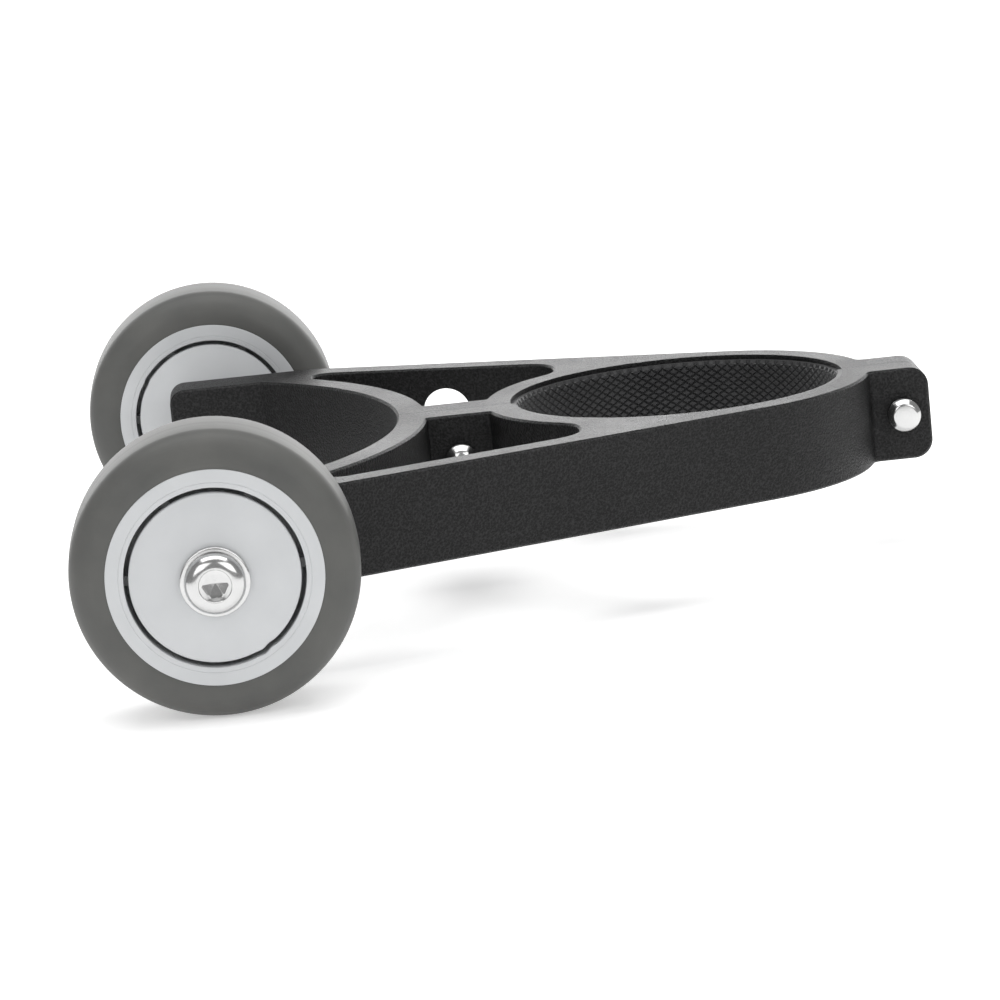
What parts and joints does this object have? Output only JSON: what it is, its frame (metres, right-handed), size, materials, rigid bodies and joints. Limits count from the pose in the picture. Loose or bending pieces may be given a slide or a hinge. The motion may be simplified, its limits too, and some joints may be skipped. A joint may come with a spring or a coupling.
{
  "type": "two-wheel pole carriage",
  "caption": "Two-wheel carriage that clamps round a pole: a split black frame with rubber-lined ring, open arch and arms, and grey-tyred ball-bearing wheels.",
  "frame": {"origin": "centre of the clamp bore, on its axis at half the frame's height", "axes": "+Z along the pole, +X from the wheel axle towards the clamp ear, +Y to the left-hand wheel"},
  "size_m": [0.1596, 0.2012, 0.05],
  "materials": {
    "frame_black": "satin",
    "tyre_grey": "satin",
    "hub_grey": "satin",
    "pad_black": "matte",
    "screw_steel": "polished",
    "bearing_steel": "satin"
  },
  "bodies": {
    "right_half": {"right_frame_half": "frame_black", "right_grip_pad": "pad_black", "right_outer_cover": "hub_grey", "right_inner_cover": "hub_grey", "right_bearing_spacer": "bearing_steel", "right_axle_washer": "screw_steel", "right_axle_screw": "screw_steel", "right_axle_bush": "screw_steel", "right_outer_bearing_inner_ring": "bearing_steel", "right_inner_bearing_inner_ring": "bearing_steel"},
    "right_wheel": {"right_tyre": "tyre_grey", "right_hub": "hub_grey", "right_outer_bearing_outer_ring": "bearing_steel", "right_inner_bearing_outer_ring": "bearing_steel"},
    "right_balls": {"right_outer_bearing_balls": "bearing_steel", "right_inner_bearing_balls": "bearing_steel"},
    "left_half": {"left_frame_half": "frame_black", "left_grip_pad": "pad_black", "left_outer_cover": "hub_grey", "left_inner_cover": "hub_grey", "left_bearing_spacer": "bearing_steel", "left_axle_washer": "screw_steel", "left_axle_screw": "screw_steel", "left_axle_bush": "screw_steel", "left_outer_bearing_inner_ring": "bearing_steel", "left_inner_bearing_inner_ring": "bearing_steel"},
    "left_wheel": {"left_tyre": "tyre_grey", "left_hub": "hub_grey", "left_outer_bearing_outer_ring": "bearing_steel", "left_inner_bearing_outer_ring": "bearing_steel"},
    "left_balls": {"left_outer_bearing_balls": "bearing_steel", "left_inner_bearing_balls": "bearing_steel"},
    "ear_screw_body": {"ear_screw": "screw_steel"},
    "waist_screw_body": {"waist_screw": "screw_steel"}
  },
  "joints": [
    {"name": "clamp_open", "type": "slide", "parent": "right_half", "child": "left_half", "axis": [0, 1, 0], "range_m": [0, 0.003]},
    {"name": "ear_screw_turn", "type": "hinge", "parent": "left_half", "child": "ear_screw_body", "pos_m": [0.04135, 0, 0], "axis": [0, 1, 0], "range_deg": [0, 1080]},
    {"name": "waist_screw_turn", "type": "hinge", "parent": "left_half", "child": "waist_screw_body", "pos_m": [-0.04167, 0, 0], "axis": [0, 1, 0], "range_deg": [0, 1080]},
    {"name": "right_wheel_spin", "type": "hinge", "parent": "right_half", "child": "right_wheel", "pos_m": [-0.088, -0.0824, 0], "axis": [0, 1, 0], "continuous": true},
    {"name": "right_balls_spin", "type": "hinge", "parent": "right_half", "child": "right_balls", "pos_m": [-0.088, -0.0824, 0], "axis": [0, 1, 0], "continuous": true},
    {"name": "left_wheel_spin", "type": "hinge", "parent": "left_half", "child": "left_wheel", "pos_m": [-0.088, 0.0824, 0], "axis": [0, 1, 0], "continuous": true},
    {"name": "left_balls_spin", "type": "hinge", "parent": "left_half", "child": "left_balls", "pos_m": [-0.088, 0.0824, 0], "axis": [0, 1, 0], "continuous": true}
  ],
  "couplings": [
    {"joint": "ear_screw_turn", "follows": "clamp_open", "rad_per_m": 6283.2},
    {"joint": "waist_screw_turn", "follows": "clamp_open", "rad_per_m": 6283.2},
    {"joint": "right_balls_spin", "follows": "right_wheel_spin", "ratio": 0.6133},
    {"joint": "left_balls_spin", "follows": "left_wheel_spin", "ratio": 0.6133}
  ]
}
